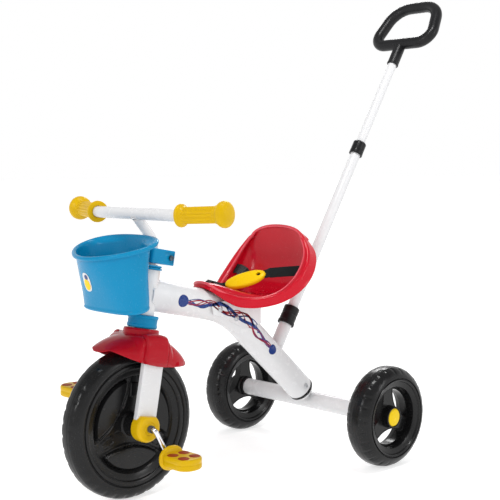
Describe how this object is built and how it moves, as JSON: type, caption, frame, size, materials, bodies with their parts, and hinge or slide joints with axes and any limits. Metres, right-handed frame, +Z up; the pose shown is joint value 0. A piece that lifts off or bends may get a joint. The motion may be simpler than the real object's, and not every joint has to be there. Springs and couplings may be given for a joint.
{
  "type": "tricycle",
  "caption": "Toddler tricycle with bent main tube, front basket, mudguard, belted bucket seat, pedals on the front wheel and a telescopic push handle.",
  "frame": {"origin": "on the ground, under the middle of the whole object's box", "axes": "+X forward, +Y to the rider's left, +Z up"},
  "size_m": [0.9575, 0.451, 0.9253],
  "materials": {
    "white_paint": "glossy white powder coat",
    "red_plastic": "gloss",
    "blue_plastic": "gloss",
    "yellow_plastic": "satin",
    "black_plastic": "satin",
    "wheel_plastic": "satin moulded tread and web",
    "chrome": "bright",
    "zinc_steel": "zinc plated",
    "webbing": "woven",
    "grey_plastic": "satin"
  },
  "bodies": {
    "frame": {"main_tube": "white_paint", "head_tube": "white_paint", "rear_axle_tube": "white_paint", "axle_stub_tube": "white_paint", "main_tube_end_ring": "black_plastic", "stub_bolt": "zinc_steel", "stub_nut": "zinc_steel", "axle_bush_left": "black_plastic", "axle_bush_right": "black_plastic", "rear_axle_rod": "zinc_steel", "push_nut_left": "zinc_steel", "push_nut_right": "zinc_steel", "pole_socket_tube": "white_paint", "socket_collar": "black_plastic", "pole_lower_tube": "white_paint", "pole_collar": "black_plastic", "seat_bracket": "white_paint", "seat_bolt_front": "zinc_steel", "seat_bolt_rear": "zinc_steel", "seat_nut_front": "zinc_steel", "seat_nut_rear": "zinc_steel", "seat_shell": "red_plastic", "seat_screw_front": "zinc_steel", "seat_screw_rear": "zinc_steel", "belt_strap_left": "webbing", "belt_strap_right": "webbing", "crotch_strap": "webbing", "belt_buckle": "yellow_plastic", "lower_headset_bush": "blue_plastic", "upper_headset_bush": "blue_plastic"},
    "steering": {"steerer_tube": "white_paint", "fork_crown": "white_paint", "fork_leg_left": "white_paint", "fork_leg_right": "white_paint", "fender": "red_plastic", "hub_cover_left": "yellow_plastic", "hub_cover_right": "yellow_plastic", "crank_spacer_left": "grey_plastic", "crank_spacer_right": "grey_plastic", "stem_clamp": "blue_plastic", "clamp_bolt": "zinc_steel", "handlebar_stem": "white_paint", "handlebar": "white_paint", "grip_left": "yellow_plastic", "grip_right": "yellow_plastic", "basket": "blue_plastic", "basket_clip": "blue_plastic"},
    "front_wheel_and_crank": {"front_wheel": "wheel_plastic", "crank_axle": "chrome"},
    "left_pedal": {"pedal_left": "yellow_plastic"},
    "right_pedal": {"pedal_right": "yellow_plastic"},
    "left_rear_wheel": {"rear_wheel_left": "wheel_plastic", "rear_hub_cap_left": "yellow_plastic"},
    "right_rear_wheel": {"rear_wheel_right": "wheel_plastic", "rear_hub_cap_right": "yellow_plastic"},
    "upper_pole": {"pole_upper_tube": "white_paint", "push_handle": "black_plastic"},
    "pole_lock_button": {"pole_button": "black_plastic"},
    "socket_lock_button": {"socket_button": "black_plastic"}
  },
  "joints": [
    {"name": "steering_turn", "type": "hinge", "parent": "frame", "child": "steering", "pos_m": [0.3488, 0, 0.13], "axis": [-0.1959, 0, 0.9806], "range_deg": [-45, 45]},
    {"name": "front_wheel_spin", "type": "hinge", "parent": "steering", "child": "front_wheel_and_crank", "pos_m": [0.3488, 0, 0.13], "axis": [0, 1, 0], "continuous": true},
    {"name": "left_pedal_spin", "type": "hinge", "parent": "front_wheel_and_crank", "child": "left_pedal", "pos_m": [0.32688, 0.11725, 0.08506], "axis": [0, 1, 0], "continuous": true},
    {"name": "right_pedal_spin", "type": "hinge", "parent": "front_wheel_and_crank", "child": "right_pedal", "pos_m": [0.37072, -0.11725, 0.17494], "axis": [0, 1, 0], "continuous": true},
    {"name": "left_rear_wheel_spin", "type": "hinge", "parent": "frame", "child": "left_rear_wheel", "pos_m": [-0.1112, 0.197, 0.095], "axis": [0, 1, 0], "continuous": true},
    {"name": "right_rear_wheel_spin", "type": "hinge", "parent": "frame", "child": "right_rear_wheel", "pos_m": [-0.1112, -0.197, 0.095], "axis": [0, 1, 0], "continuous": true},
    {"name": "upper_pole_slide", "type": "slide", "parent": "frame", "child": "upper_pole", "axis": [-0.5373, 0, 0.8434], "range_m": [-0.19, 0.06]},
    {"name": "pole_lock_press", "type": "slide", "parent": "frame", "child": "pole_lock_button", "axis": [0.8434, 0, 0.5373], "range_m": [0, 0.0012], "stiffness_N_per_m": 400},
    {"name": "socket_lock_press", "type": "slide", "parent": "frame", "child": "socket_lock_button", "axis": [0.8434, 0, 0.5373], "range_m": [0, 0.0012], "stiffness_N_per_m": 400}
  ]
}
